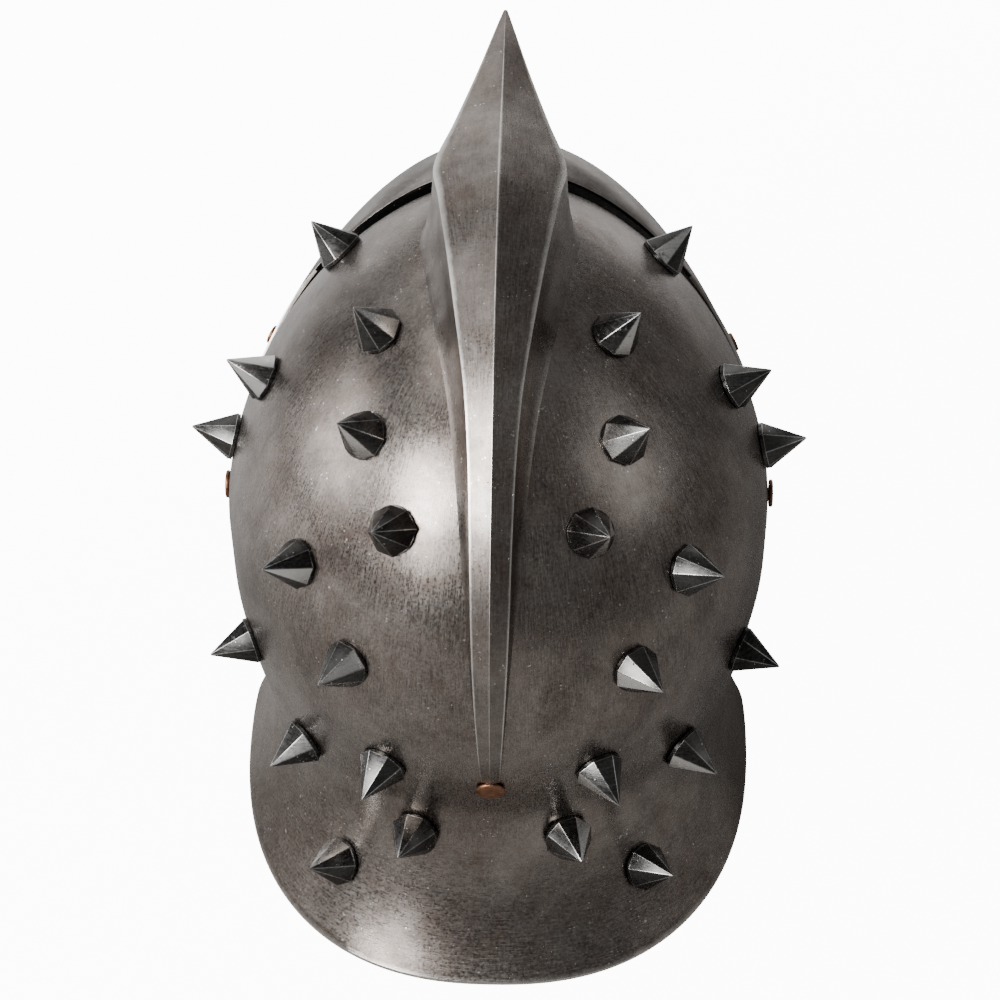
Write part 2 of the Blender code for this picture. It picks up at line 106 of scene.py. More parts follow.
def curve_through(rows, at):
    """The other columns of a table, on a smooth curve through its rows, at a value of its first."""
    ordered = sorted(rows)
    last = len(ordered) - 1
    index = 0
    while index < last - 1 and at > ordered[index + 1][0]:
        index += 1
    low, high = ordered[index], ordered[index + 1]
    under, over = ordered[max(index - 1, 0)], ordered[min(index + 2, last)]
    span = high[0] - low[0]
    t = (at - low[0]) / span
    values = []
    for column in range(1, len(low)):
        slope_low = (high[column] - under[column]) / (high[0] - under[0]) * span
        slope_high = (over[column] - low[column]) / (over[0] - low[0]) * span
        rest = 1.0 - t
        value = low[column] * (1.0 + 2.0 * t) * rest * rest + slope_low * t * rest * rest
        value += high[column] * t * t * (3.0 - 2.0 * t) - slope_high * t * t * rest
        values.append(value)
    return values


def round_share(climb, fullness):
    """How wide a rounded form still is at this share of its rise. A fullness of 2 is an ellipse."""
    return (1.0 - climb**fullness) ** (1.0 / fullness)


def skull_ring(height):
    """Half-widths, reaches and squareness of the skull at a height above the rim."""
    if height >= WIDEST_LEVEL:
        climb = min((height - WIDEST_LEVEL) / BOWL_RISE, 1.0)
        half = BOWL_HALF_WIDTH * round_share(climb, BOWL_SIDE_FULLNESS)
        reach = BOWL_HALF_LENGTH * round_share(climb, BOWL_FULLNESS)
        return half, half, reach, reach, 2.0
    fall = min((WIDEST_LEVEL - height) / (WIDEST_LEVEL - RIM_LAND), 1.0)
    neck_in, rim_out, nape_in, tail_out, chin_in, square = curve_through(LOWER_RINGS, fall)
    half_front = between(BOWL_HALF_WIDTH, NECK_HALF_WIDTH, neck_in)
    half_rear = half_front + (RIM_HALF_WIDTH - NECK_HALF_WIDTH) * rim_out
    rear = between(BOWL_HALF_LENGTH, NAPE_REACH, nape_in) + (TAIL_REACH - NAPE_REACH) * tail_out
    front = between(BOWL_HALF_LENGTH, CHIN_REACH, chin_in)
    return half_rear, half_front, rear, front, between(2.0, RIM_SQUARENESS, square)


def skull_point(around, height):
    """A point of the outside, around from straight behind, towards +X."""
    half_rear, half_front, rear, front, square = skull_ring(height)
    side, back = math.sin(around), math.cos(around)
    along = math.copysign(abs(back) ** (2.0 / square), back) * (rear if back > 0.0 else front)
    half = between(half_front, half_rear, smooth_step((along + TAIL_FRONT + TAIL_CORNER) / TAIL_CORNER))
    across = math.copysign(abs(side) ** (2.0 / square), side) * half
    return Vector((across, skull_middle.y + along, height))


def skull_heights():
    """The grid's levels, from below the rim to the crown, closer together towards the crown."""
    heights = [-2 * SKULL_WALL, RIM_LAND / 2]
    heights += [between(RIM_LAND, WIDEST_LEVEL, row / WALL_ROWS) for row in range(WALL_ROWS)]
    climbs = [math.sin(math.pi / 2 * row / BOWL_ROWS) for row in range(BOWL_ROWS + 1)]
    heights += [WIDEST_LEVEL + BOWL_RISE * climb for climb in climbs]
    return heights


def start_grid(name, columns, rows):
    """A flat grid with its own UV map, and its points as a table of rows."""
    bpy.ops.object.select_all(action="DESELECT")
    bpy.ops.mesh.primitive_grid_add(x_subdivisions=columns, y_subdivisions=rows, size=1.0)
    grid = bpy.context.object
    grid.name = name
    grid.data.name = name
    wide = columns + 1
    return grid, [[row * wide + column for column in range(wide)] for row in range(rows + 1)]


def apply_modifier(piece, kind, **settings):
    modifier = piece.modifiers.new(kind.title(), kind)
    for setting, value in settings.items():
        setattr(modifier, setting, value)
    bpy.context.view_layer.objects.active = piece
    bpy.ops.object.modifier_apply(modifier=modifier.name)


def dented(point, depth, size):
    """How far a hammered plate stands out or in at a point."""
    broad = noise.noise(point / size)
    fine = noise.noise(point / (size * 0.37) + Vector((7.0, 3.0, 5.0)))
    return depth * (broad + 0.35 * fine)


heights = skull_heights()
skull, table = start_grid("skull_plate", SKULL_COLUMNS, len(heights) - 1)
for row, height in zip(table, heights):
    for column, index in enumerate(row):
        around = math.pi * (2.0 * column / SKULL_COLUMNS - 1.0)
        point = skull_point(around, height)
        outward = (point - Vector((0.0, skull_middle.y, min(height, WIDEST_LEVEL)))).normalized()
        fade = smooth_step(height / DENT_FADE)
        skull.data.vertices[index].co = point + outward * dented(point, DENT_DEPTH, DENT_SIZE) * fade

# The face is cut with one plane for each short length of the arch, through the front alone
plate = bmesh.new()
plate.from_mesh(skull.data)
bmesh.ops.remove_doubles(plate, verts=plate.verts, dist=0.00002)
below = -0.02
arch = [(FACE_FOOT_HALF_WIDTH, below), (FACE_HALF_WIDTH, FACE_SPRING)]
for step in range(1, ARCH_STEPS):
    angle = math.pi * step / ARCH_STEPS
    arch.append((FACE_HALF_WIDTH * math.cos(angle), between(FACE_SPRING, FACE_TOP, math.sin(angle))))
arch += [(-FACE_HALF_WIDTH, FACE_SPRING), (-FACE_FOOT_HALF_WIDTH, below)]
face = [item for item in plate.faces if item.calc_center_median().y < skull_middle.y]
for (x0, z0), (x1, z1) in zip(arch, arch[1:]):
    corner = Vector((x0, 0.0, z0))
    away = Vector((z1 - z0, 0.0, x0 - x1)).normalized()
    parts = face + list({edge for item in face for edge in item.edges})
    parts += list({vert for item in face for vert in item.verts})
    halves = bmesh.ops.bisect_plane(plate, geom=parts, plane_co=corner, plane_no=away, dist=0.00001)["geom"]
    parts = [item for item in halves if isinstance(item, bmesh.types.BMFace)]
    face = [item for item in parts if (item.calc_center_median() - corner).dot(away) < 0.0]
bmesh.ops.delete(plate, geom=face, context="FACES")
rim = [edge for edge in plate.edges if edge.is_boundary]
edge_points = list({vert for edge in rim for vert in edge.verts if vert.co.z > 0.0})
bmesh.ops.remove_doubles(plate, verts=edge_points, dist=0.0006)
bmesh.ops.recalc_face_normals(plate, faces=plate.faces)
if sum(item.normal.dot(item.calc_center_median() - skull_middle) for item in plate.faces) < 0.0:
    bmesh.ops.reverse_faces(plate, faces=plate.faces)
plate.to_mesh(skull.data)
plate.free()

apply_modifier(skull, "SOLIDIFY", thickness=SKULL_WALL, offset=-1.0, use_even_offset=True)
bpy.ops.object.mode_set(mode="EDIT")
bpy.ops.mesh.select_all(action="SELECT")
bpy.ops.mesh.bisect(plane_co=(0, 0, 0), plane_no=(0, 0, 1), use_fill=True, clear_inner=True)
bpy.ops.object.mode_set(mode="OBJECT")
apply_modifier(
    skull, "BEVEL", width=PLATE_EDGE, segments=2, limit_method="ANGLE", angle_limit=math.radians(55)
)
bpy.ops.object.shade_smooth_by_angle(angle=math.radians(38))


def sort_faces(piece, middle, level):
    """Finish numbers for a plate: 0 outside, 1 inside, 2 where its edge is cut."""
    turned = 0.4
    for item in piece.data.polygons:
        centre = item.center
        outward = (centre - Vector((0.0, middle.y, min(centre.z, level)))).normalized()
        facing = item.normal.dot(outward)
        item.material_index = 0 if facing > turned else 1 if facing < -turned else 2


sort_faces(skull, skull_middle, WIDEST_LEVEL)


def new_material(name):
    material = bpy.data.materials.new(name)
    material.use_nodes = True
    return material, material.node_tree


def noise_node(tree, vector, scale, detail=3.0, roughness=0.55, distortion=0.0):
    texture = tree.nodes.new("ShaderNodeTexNoise")
    texture.inputs["Scale"].default_value = scale
    texture.inputs["Detail"].default_value = detail
    texture.inputs["Roughness"].default_value = roughness
    texture.inputs["Distortion"].default_value = distortion
    tree.links.new(vector, texture.inputs["Vector"])
    return texture.outputs["Fac"]


def cells_node(tree, vector, scale):
    """How far each place is from the nearest of many scattered points."""
    texture = tree.nodes.new("ShaderNodeTexVoronoi")
    texture.inputs["Scale"].default_value = scale
    tree.links.new(vector, texture.inputs["Vector"])
    return texture.outputs["Distance"]


def ranged(tree, value, low, high, out_low=0.0, out_high=1.0):
    """A value from one range to another, held at its ends."""
    node = tree.nodes.new("ShaderNodeMapRange")
    for name, number in (("From Min", low), ("From Max", high), ("To Min", out_low), ("To Max", out_high)):
        node.inputs[name].default_value = number
    tree.links.new(value, node.inputs["Value"])
    return node.outputs["Result"]


def maths(tree, kind, *values):
    """One step of arithmetic. Each value is a socket or a number."""
    node = tree.nodes.new("ShaderNodeMath")
    node.operation = kind
    for socket, value in zip(node.inputs, values):
        if isinstance(value, float):
            socket.default_value = value
        else:
            tree.links.new(value, socket)
    return node.outputs["Value"]


def plus(tree, first, second):
    return maths(tree, "ADD", first, second)


def less(tree, first, second):
    return maths(tree, "SUBTRACT", first, second)


def times(tree, first, second):
    return maths(tree, "MULTIPLY", first, second)


def stretched(tree, vector, scale):
    node = tree.nodes.new("ShaderNodeMapping")
    node.inputs["Scale"].default_value = scale
    tree.links.new(vector, node.inputs["Vector"])
    return node.outputs["Vector"]


def blend(tree, share, first, second):
    """Two colours mixed by a share. Each colour is a socket or three numbers."""
    node = tree.nodes.new("ShaderNodeMix")
    node.data_type = "RGBA"
    for name, value in (("A", first), ("B", second)):
        socket = [item for item in node.inputs if item.name == name and item.type == "RGBA"][0]
        if isinstance(value, tuple):
            socket.default_value = (*value, 1.0)
        else:
            tree.links.new(value, socket)
    tree.links.new(share, node.inputs["Factor"])
    return [item for item in node.outputs if item.type == "RGBA"][0]


def new_group(name, inputs, outputs):
    group = bpy.data.node_groups.new(name, "ShaderNodeTree")
    for socket, kind, value in inputs:
        item = group.interface.new_socket(name=socket, in_out="INPUT", socket_type="NodeSocket" + kind)
        if value is not None:
            item.default_value = value
    for socket, kind in outputs:
        group.interface.new_socket(name=socket, in_out="OUTPUT", socket_type="NodeSocket" + kind)
    return group, group.nodes.new("NodeGroupInput"), group.nodes.new("NodeGroupOutput")


# Worked steel: clouds of patina, brushing that runs the way the vector is stretched, brown stains,
# fine pits and bright specks. Every steel piece places it with values of its own.
BROWN_STAIN = (0.185, 0.128, 0.10)
PIT_COLOUR = (0.035, 0.03, 0.028)
SPECK_COLOUR = (0.75, 0.72, 0.68)
worked_steel, given, result = new_group(
    "Worked steel",
    (
        ("Place", "Vector", None),
        ("Brushing", "Vector", None),
        ("Dark", "Color", (0.09, 0.08, 0.075, 1.0)),
        ("Light", "Color", (0.30, 0.28, 0.27, 1.0)),
        ("Patina", "Float", 0.5),
        ("Brush depth", "Float", 1.0),
        ("Pit amount", "Float", 0.5),
        ("Gloss", "Float", 0.3),
        ("Tint", "Float", 0.5),
    ),
    (("Color", "Color"), ("Roughness", "Float"), ("Height", "Float")),
)
tree = worked_steel
place, brushing = given.outputs["Place"], given.outputs["Brushing"]

# Clouds and finer smudges tone it, and two sizes of grain with some grit make the brushing
clouds = noise_node(tree, place, scale=16.0, detail=4.0, roughness=0.62, distortion=0.6)
smudges = noise_node(tree, place, scale=75.0, detail=8.0, roughness=0.72, distortion=0.3)
tone = plus(tree, times(tree, clouds, 0.62), times(tree, smudges, 0.38))
tone = times(tree, less(tree, tone, 0.5), given.outputs["Patina"])
grain = noise_node(tree, brushing, scale=1.0, detail=3.0, roughness=0.7)
fine_grain = noise_node(tree, brushing, scale=3.1, detail=2.0, roughness=0.7)
grit = noise_node(tree, place, scale=900.0, detail=2.0, roughness=0.7)
streaks = less(tree, times(tree, plus(tree, grain, fine_grain), 0.5), 0.5)
streaks = plus(tree, streaks, times(tree, less(tree, grit, 0.5), 0.48))
streaks = times(tree, streaks, given.outputs["Brush depth"])
brightness = plus(tree, times(tree, tone, 3.2), times(tree, streaks, 1.7))
brightness = ranged(tree, plus(tree, brightness, 0.55), 0.0, 1.0)
colour = blend(tree, brightness, given.outputs["Dark"], given.outputs["Light"])

# Brown stains lie over the tone
stains = noise_node(tree, place, scale=38.0, detail=6.0, roughness=0.75, distortion=0.5)
stains = times(tree, ranged(tree, stains, 0.46, 0.72), given.outputs["Tint"])
colour = blend(tree, stains, colour, BROWN_STAIN)

# Pits and specks are cells whose size a noise sets, so that they come in patches
pit_size = noise_node(tree, place, scale=110.0, detail=4.0, roughness=0.7)
pit_size = times(tree, ranged(tree, pit_size, 0.50, 0.72), 0.36)
pit_size = times(tree, pit_size, given.outputs["Pit amount"])
pits = ranged(tree, less(tree, pit_size, cells_node(tree, place, scale=620.0)), 0.0, 0.12)
colour = blend(tree, times(tree, pits, 0.75), colour, PIT_COLOUR)
speck_size = noise_node(tree, place, scale=170.0, detail=4.0, roughness=0.7)
speck_size = times(tree, ranged(tree, speck_size, 0.48, 0.72), 0.34)
specks = ranged(tree, less(tree, speck_size, cells_node(tree, place, scale=520.0)), 0.0, 0.05)
colour = blend(tree, times(tree, specks, 0.8), colour, SPECK_COLOUR)
tree.links.new(colour, result.inputs["Color"])

# Light tones are glossier, streaks and pits duller, and the surface rises and sinks with the marks
rough = plus(tree, given.outputs["Gloss"], times(tree, streaks, 0.45))
rough = less(tree, rough, times(tree, tone, 0.35))
rough = plus(tree, rough, times(tree, pits, 0.25))
tree.links.new(rough, result.inputs["Roughness"])
level = less(tree, times(tree, streaks, 0.30), pits)
level = plus(tree, level, times(tree, smudges, 0.25))
tree.links.new(level, result.inputs["Height"])


def steel_shader(name, brush_from, dark, light, patina, brush_depth, pit_amount, gloss, bump=0.00013):
    """A steel finish on the worked steel group, whose brushing vector brush_from gives. Returned with
    it are the group's node and the shader, for wear that is added on top."""
    material, tree = new_material(name)
    shader = tree.nodes["Principled BSDF"]
    shader.inputs["Metallic"].default_value = 1.0
    where = tree.nodes.new("ShaderNodeTexCoord")
    worked = tree.nodes.new("ShaderNodeGroup")
    worked.node_tree = worked_steel
    tree.links.new(where.outputs["Object"], worked.inputs["Place"])
    tree.links.new(brush_from(tree, where), worked.inputs["Brushing"])
    worked.inputs["Dark"].default_value = (*dark, 1.0)
    worked.inputs["Light"].default_value = (*light, 1.0)
    worked.inputs["Patina"].default_value = patina
    worked.inputs["Brush depth"].default_value = brush_depth
    worked.inputs["Pit amount"].default_value = pit_amount
    worked.inputs["Gloss"].default_value = gloss
    tree.links.new(worked.outputs["Color"], shader.inputs["Base Color"])
    tree.links.new(worked.outputs["Roughness"], shader.inputs["Roughness"])
    rise = tree.nodes.new("ShaderNodeBump")
    rise.inputs["Distance"].default_value = bump
    rise.inputs["Strength"].default_value = 1.0
    tree.links.new(worked.outputs["Height"], rise.inputs["Height"])
    tree.links.new(rise.outputs["Normal"], shader.inputs["Normal"])
    return material, worked, shader


def skull_brushing(tree, where):
    """Brushed up and down on the bowl, and along the tail below the neck, with a ragged change."""
    change_level = 0.066
    upright = stretched(tree, where.outputs["UV"], (1150.0, 34.0, 1.0))
    along = stretched(tree, where.outputs["UV"], (80.0, 620.0, 1.0))
    parts = tree.nodes.new("ShaderNodeSeparateXYZ")
    tree.links.new(where.outputs["Object"], parts.inputs["Vector"])
    waver = noise_node(tree, where.outputs["Object"], scale=20.0)
    height = plus(tree, parts.outputs["Z"], times(tree, waver, 0.03))
    mix = tree.nodes.new("ShaderNodeMix")
    mix.data_type = "VECTOR"
    vectors = [item for item in mix.inputs if item.type == "VECTOR" and item.name in "AB"]
    tree.links.new(along, vectors[0])
    tree.links.new(upright, vectors[1])
    tree.links.new(ranged(tree, height, change_level, change_level + 0.001), mix.inputs["Factor"])
    return [item for item in mix.outputs if item.type == "VECTOR"][0]


def level_brushing(tree, where):
    return stretched(tree, where.outputs["Object"], (90.0, 90.0, 900.0))


brushed, skull_worked, skull_shader = steel_shader(
    "brushed_steel_finish",
    skull_brushing,
    dark=(0.105, 0.085, 0.075),
    light=(0.375, 0.335, 0.307),
    patina=0.9,
    brush_depth=1.4,
    pit_amount=0.5,
    gloss=0.28,
)

# Just above the rim the patina is rubbed off, up to a ragged line
FILED_STEEL = (0.74, 0.70, 0.66)
tree = brushed.node_tree
where = tree.nodes.new("ShaderNodeTexCoord")
parts = tree.nodes.new("ShaderNodeSeparateXYZ")
tree.links.new(where.outputs["Object"], parts.inputs["Vector"])
ragged = noise_node(tree, where.outputs["Object"], scale=160.0, detail=4.0, roughness=0.7)
rim_wear = plus(tree, parts.outputs["Z"], times(tree, ragged, 0.0022))
rim_wear = ranged(tree, rim_wear, 0.0018, 0.0040, 0.9, 0.0)
colour = blend(tree, rim_wear, skull_worked.outputs["Color"], FILED_STEEL)
tree.links.new(colour, skull_shader.inputs["Base Color"])
skull_inside, _, _ = steel_shader(
    "skull_inside_finish",
    level_brushing,
    dark=(0.05, 0.045, 0.042),
    light=(0.15, 0.14, 0.135),
    patina=1.0,
    brush_depth=0.5,
    pit_amount=1.0,
    gloss=0.52,
)
cut_steel, _, _ = steel_shader(
    "cut_steel_finish",
    level_brushing,
    dark=(0.16, 0.15, 0.14),
    light=(0.52, 0.50, 0.48),
    patina=1.0,
    brush_depth=0.8,
    pit_amount=0.6,
    gloss=0.30,
)
for material in (brushed, skull_inside, cut_steel):
    skull.data.materials.append(material)
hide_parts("skull")
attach(skull, "root")


# Comb. A hollow ridge, forged from sheet, that runs from the nape over the crown and rises to a
# point above the brow. It has a keel between two flat faces, and concave flanks welded to the skull.
COMB_START = math.radians(-18.2)
COMB_END = math.radians(122.0)
COMB_TIP_RISE = 0.0685
COMB_HALF_WIDTH = 0.0255
COMB_FOOT_HALF_WIDTH = 0.032
COMB_KEEL_SLOPE = 0.32
COMB_ROWS = 150
COMB_CROWDING = 1.15
COMB_SINK = 0.0006
COMB_RAY_START = 0.05
COMB_SECTIONS = (
    # way, keel above the skull, face, foot, as shares of the tip's rise and of the two half-widths
    (0.00, 0.030, 0.14, 0.13),
    (0.08, 0.080, 0.18, 0.18),
    (0.16, 0.112, 0.23, 0.23),
    (0.26, 0.143, 0.28, 0.31),
    (0.36, 0.172, 0.31, 0.41),
    (0.45, 0.203, 0.35, 0.50),
    (0.53, 0.246, 0.43, 0.60),
    (0.61, 0.300, 0.58, 0.74),
    (0.69, 0.355, 0.74, 0.86),
    (0.77, 0.420, 0.91, 0.97),
    (0.82, 0.466, 1.00, 1.00),
    (0.88, 0.560, 0.72, 0.86),
    (0.94, 0.735, 0.39, 0.52),
    (1.00, 1.000, 0.03, 0.08),
)
# Across the face, from the keel to the shoulder, as shares of its half-width
COMB_FACE = (0.0, 0.05, 0.3, 0.6, 0.86)
COMB_FLANK = (
    # out to the foot, up to the edge of the face
    (0.00, 1.00),
    (0.012, 0.97),
    (0.06, 0.82),
    (0.13, 0.60),
    (0.26, 0.38),
    (0.44, 0.22),
    (0.66, 0.09),
    (0.86, 0.015),
    (1.00, -0.03),
)


def bowl_distance(angle):
    """From the bowl's middle to its outside, in the plane of symmetry, at an angle from the rear."""
    power = BOWL_FULLNESS if angle > 0.0 else 2.0
    along = abs(math.cos(angle)) / BOWL_HALF_LENGTH
    up = abs(math.sin(angle)) / BOWL_RISE
    return (along**power + up**power) ** (-1.0 / power)


half_columns = len(COMB_FACE) + len(COMB_FLANK) - 1
comb, table = start_grid("comb_plate", 2 * half_columns, COMB_ROWS)
for row, indices in enumerate(table):
    way = 1.0 - (1.0 - row / COMB_ROWS) ** COMB_CROWDING
    lift, face_share, foot_share = curve_through(COMB_SECTIONS, way)
    angle = between(COMB_START, COMB_END, way)
    direction = Vector((0.0, math.cos(angle), math.sin(angle)))
    skull_radius = bowl_distance(angle)
    half_face = COMB_HALF_WIDTH * face_share
    half_foot = COMB_FOOT_HALF_WIDTH * foot_share
    keel = skull_radius + COMB_TIP_RISE * lift
    shoulder = keel - half_face * COMB_KEEL_SLOPE
    side = [(half_face * share, keel - half_face * share * COMB_KEEL_SLOPE, 0.0) for share in COMB_FACE]
    side += [(between(half_face, half_foot, out), shoulder, up) for out, up in COMB_FLANK]
    for column, index in enumerate(indices):
        across, radius, up = side[abs(column - half_columns)]
        across = math.copysign(across, half_columns - column)
        if abs(column - half_columns) >= len(COMB_FACE):
            start = skull_middle + Vector((across, 0.0, 0.0)) + direction * (skull_radius + COMB_RAY_START)
            hit, place = skull.ray_cast(start, -direction)[:2]
            ground = (place - skull_middle).dot(direction) if hit else skull_radius
            radius = between(ground - COMB_SINK, radius, up)
        comb.data.vertices[index].co = skull_middle + direction * radius + Vector((across, 0.0, 0.0))
bpy.ops.object.mode_set(mode="EDIT")
bpy.ops.mesh.select_all(action="SELECT")
bpy.ops.mesh.normals_make_consistent(inside=False)
bpy.ops.object.mode_set(mode="OBJECT")
if sum(item.normal.dot(item.center - skull_middle) for item in comb.data.polygons) < 0.0:
    comb.data.flip_normals()
bpy.ops.object.shade_smooth_by_angle(angle=math.radians(16))


def comb_brushing(tree, where):
    return stretched(tree, where.outputs["UV"], (170.0, 22.0, 1.0))


forged, comb_worked, comb_shader = steel_shader(
    "forged_steel_finish",
    comb_brushing,
    dark=(0.11, 0.09, 0.08),
    light=(0.36, 0.325, 0.30),
    patina=1.0,
    brush_depth=1.0,
    pit_amount=0.7,
    gloss=0.31,
)

# Along the keel and both shoulders the comb is worn bright, in ragged bands
BARE_STEEL = (0.80, 0.77, 0.73)
tree = forged.node_tree
where = tree.nodes.new("ShaderNodeTexCoord")
parts = tree.nodes.new("ShaderNodeSeparateXYZ")
tree.links.new(where.outputs["UV"], parts.inputs["Vector"])
ragged = noise_node(tree, where.outputs["Object"], scale=130.0, detail=4.0, roughness=0.7)
from_keel = maths(tree, "ABSOLUTE", less(tree, parts.outputs["X"], 0.5))
worn = plus(tree, from_keel, times(tree, ragged, 0.02))
keel_wear = ranged(tree, worn, 0.010, 0.034, 1.0, 0.0)
shoulder_at = len(COMB_FACE) / (2.0 * half_columns)
from_shoulder = maths(tree, "ABSOLUTE", less(tree, from_keel, shoulder_at))
worn = plus(tree, from_shoulder, times(tree, ragged, 0.03))
shoulder_wear = ranged(tree, worn, 0.020, 0.046, 1.0, 0.0)
wear = maths(tree, "MAXIMUM", keel_wear, shoulder_wear)
colour = blend(tree, wear, comb_worked.outputs["Color"], BARE_STEEL)
tree.links.new(colour, comb_shader.inputs["Base Color"])
comb.data.materials.append(forged)
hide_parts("comb")
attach(comb, "root")


# Brow visor. A curved plate that stands off the forehead at the middle and comes down onto the skull
# at the temples, where two copper rivets a side hold it. Its edges are cut and filed bright.
VISOR_AXIS = skull_middle + Vector((0.0, -0.038, 0.008))
VISOR_REAR_LEAN = 65.0
VISOR_FRONT_LEAN = 19.0
VISOR_HALF_WIDTH = 0.10145
VISOR_REAR_STAND = 0.002
VISOR_FRONT_STAND = 0.023
VISOR_SWELL = 4.0
VISOR_TOUCH_REAR = 0.88
VISOR_TOUCH_FRONT = 0.95
VISOR_FALL_REAR = 2.25
VISOR_FALL_FRONT = 1.75
VISOR_WALL = 0.0016
VISOR_GAP = 0.0006
VISOR_COLUMNS = 96
VISOR_ROWS = 22
VISOR_RAY_START = 0.2

visor, table = start_grid("visor_plate", VISOR_COLUMNS, VISOR_ROWS)
for row, indices in enumerate(table):
    share = row / VISOR_ROWS
    lean = math.radians(between(VISOR_REAR_LEAN, VISOR_FRONT_LEAN, share))
    direction = Vector((0.0, -math.cos(lean), math.sin(lean)))
    stand = between(VISOR_REAR_STAND, VISOR_FRONT_STAND, 1.0 - (1.0 - share) ** VISOR_SWELL)
    fall = between(VISOR_FALL_REAR, VISOR_FALL_FRONT, share)
    touch = VISOR_HALF_WIDTH * between(VISOR_TOUCH_REAR, VISOR_TOUCH_FRONT, share)
    for column, index in enumerate(indices):
        across = VISOR_HALF_WIDTH * math.sin(math.pi / 2 * (2 * column / VISOR_COLUMNS - 1))
        start = VISOR_AXIS + Vector((across, 0.0, 0.0)) + direction * VISOR_RAY_START
        _, place, outward, _ = skull.ray_cast(start, -direction)
        part = max(1.0 - (abs(across) / touch) ** fall, 0.0)
        visor.data.vertices[index].co = place + outward * VISOR_GAP + direction * stand * part
bpy.ops.object.mode_set(mode="EDIT")
bpy.ops.mesh.select_all(action="SELECT")
bpy.ops.mesh.vertices_smooth(factor=0.5, repeat=2)
bpy.ops.object.mode_set(mode="OBJECT")
if sum(item.normal.dot(item.center - skull_middle) for item in visor.data.polygons) < 0.0:
    visor.data.flip_normals()
apply_modifier(visor, "SOLIDIFY", thickness=VISOR_WALL, offset=1.0, use_even_offset=True)
apply_modifier(
    visor, "BEVEL", width=PLATE_EDGE, segments=2, limit_method="ANGLE", angle_limit=math.radians(50)
)
bpy.ops.object.shade_smooth_by_angle(angle=math.radians(38))
sort_faces(visor, skull_middle, WIDEST_LEVEL)


def visor_brushing(tree, where):
    return stretched(tree, where.outputs["UV"], (40.0, 160.0, 1.0))


visor_finish, _, _ = steel_shader(
    "visor_steel_finish",
    visor_brushing,
    dark=(0.16, 0.148, 0.14),
    light=(0.46, 0.43, 0.41),
    patina=0.9,
    brush_depth=0.9,
    pit_amount=0.5,
    gloss=0.36,
)
# The visor's inside is painted near black: painted shade for the dark gap between the plate and the skull
visor_painted_shade, _, _ = steel_shader(
    "visor_inside_finish",
    level_brushing,
    dark=(0.006, 0.006, 0.006),
    light=(0.02, 0.02, 0.02),
    patina=1.0,
    brush_depth=0.5,
    pit_amount=0.5,
    gloss=0.75,
)
bright_edge, _, _ = steel_shader(
    "bright_edge_finish",
    level_brushing,
    dark=(0.45, 0.44, 0.42),
    light=(0.85, 0.83, 0.80),
    patina=1.0,
    brush_depth=0.5,
    pit_amount=0.3,
    gloss=0.34,
)
for material in (visor_finish, visor_painted_shade, bright_edge):
    visor.data.materials.append(material)
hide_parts("brow_visor")
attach(visor, "root")


# Spikes. Eight-sided points, forged, filed and blackened, each on a thin round collar. A shank goes
# through the skull and is peened over inside. Their edges and tips are worn bright, and here and
# there a facet has been ground back to bare metal.
SPIKE_SIDES = 8
SPIKE_HALF_WIDTH = 0.0102
SPIKE_HEIGHT = 0.0178
SPIKE_CHAMFER = 0.0009
SPIKE_FOOT_SHARE = 0.91
SPIKE_CORNER_INSET = 0.02
SPIKE_SEED = 31
SPIKE_EDGE_WEAR = 0.00022
SPIKE_SLIP = 0.0005
GROUND_FACET_CHANCE = 0.13
COLLAR_HALF_WIDTH = 0.0094
COLLAR_HEIGHT = 0.0013
SHANK_HALF_WIDTH = 0.0023
PEEN_HALF_WIDTH = 0.00425
PEEN_HEIGHT = 0.0012
PEEN_OVERLAP = 0.0006


def fastener_place(node):
    """Where a CAD spike or rivet stands: its middle, its outward axis, and how far its top and its
    bottom are from that middle. The axis is the way in which its points spread unlike the others."""
    points = np.array([vert.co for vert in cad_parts[node].data.vertices])
    points = np.unique(points.round(6), axis=0)
    middle = points.mean(axis=0)
    spread, ways = np.linalg.eigh(np.cov((points - middle).T))
    odd = 0 if spread[1] - spread[0] > spread[2] - spread[1] else 2
    axis = Vector(ways[:, odd])
    if axis.dot(Vector(middle) - Vector((0.0, skull_middle.y, 0.1))) < 0.0:
        axis.negate()
    heights = (points - middle) @ np.array(axis)
    return Vector(middle), axis, float(heights.max()), float(heights.min())


def upright_matrix(point, axis):
    """Puts a piece's own +Z on an axis, with its +X level."""
    level = Vector((0.0, 0.0, 1.0)).cross(axis).normalized()
    turn = Matrix((level, axis.cross(level), axis)).transposed().to_4x4()
    return Matrix.Translation(point) @ turn


def add_shank(grip):
    """The hidden shank and its peened end, as one more part of the piece in hand."""
    bpy.ops.mesh.primitive_cylinder_add(
        vertices=20, radius=SHANK_HALF_WIDTH, depth=grip + PEEN_OVERLAP, location=(0.0, 0.0, -grip / 2)
    )
    shank = bpy.context.object
    bpy.ops.mesh.primitive_uv_sphere_add(segments=24, ring_count=12, radius=PEEN_HALF_WIDTH)
    peen = bpy.context.object
    bpy.ops.object.mode_set(mode="EDIT")
    bpy.ops.mesh.select_all(action="SELECT")
    bpy.ops.mesh.bisect(plane_co=(0, 0, 0), plane_no=(0, 0, 1), use_fill=True, clear_outer=True)
    bpy.ops.mesh.select_all(action="SELECT")
    bpy.ops.transform.resize(value=(1.0, 1.0, PEEN_HEIGHT / PEEN_HALF_WIDTH))
    bpy.ops.transform.translate(value=(0.0, 0.0, -grip))
    bpy.ops.object.mode_set(mode="OBJECT")
    return [shank, peen]


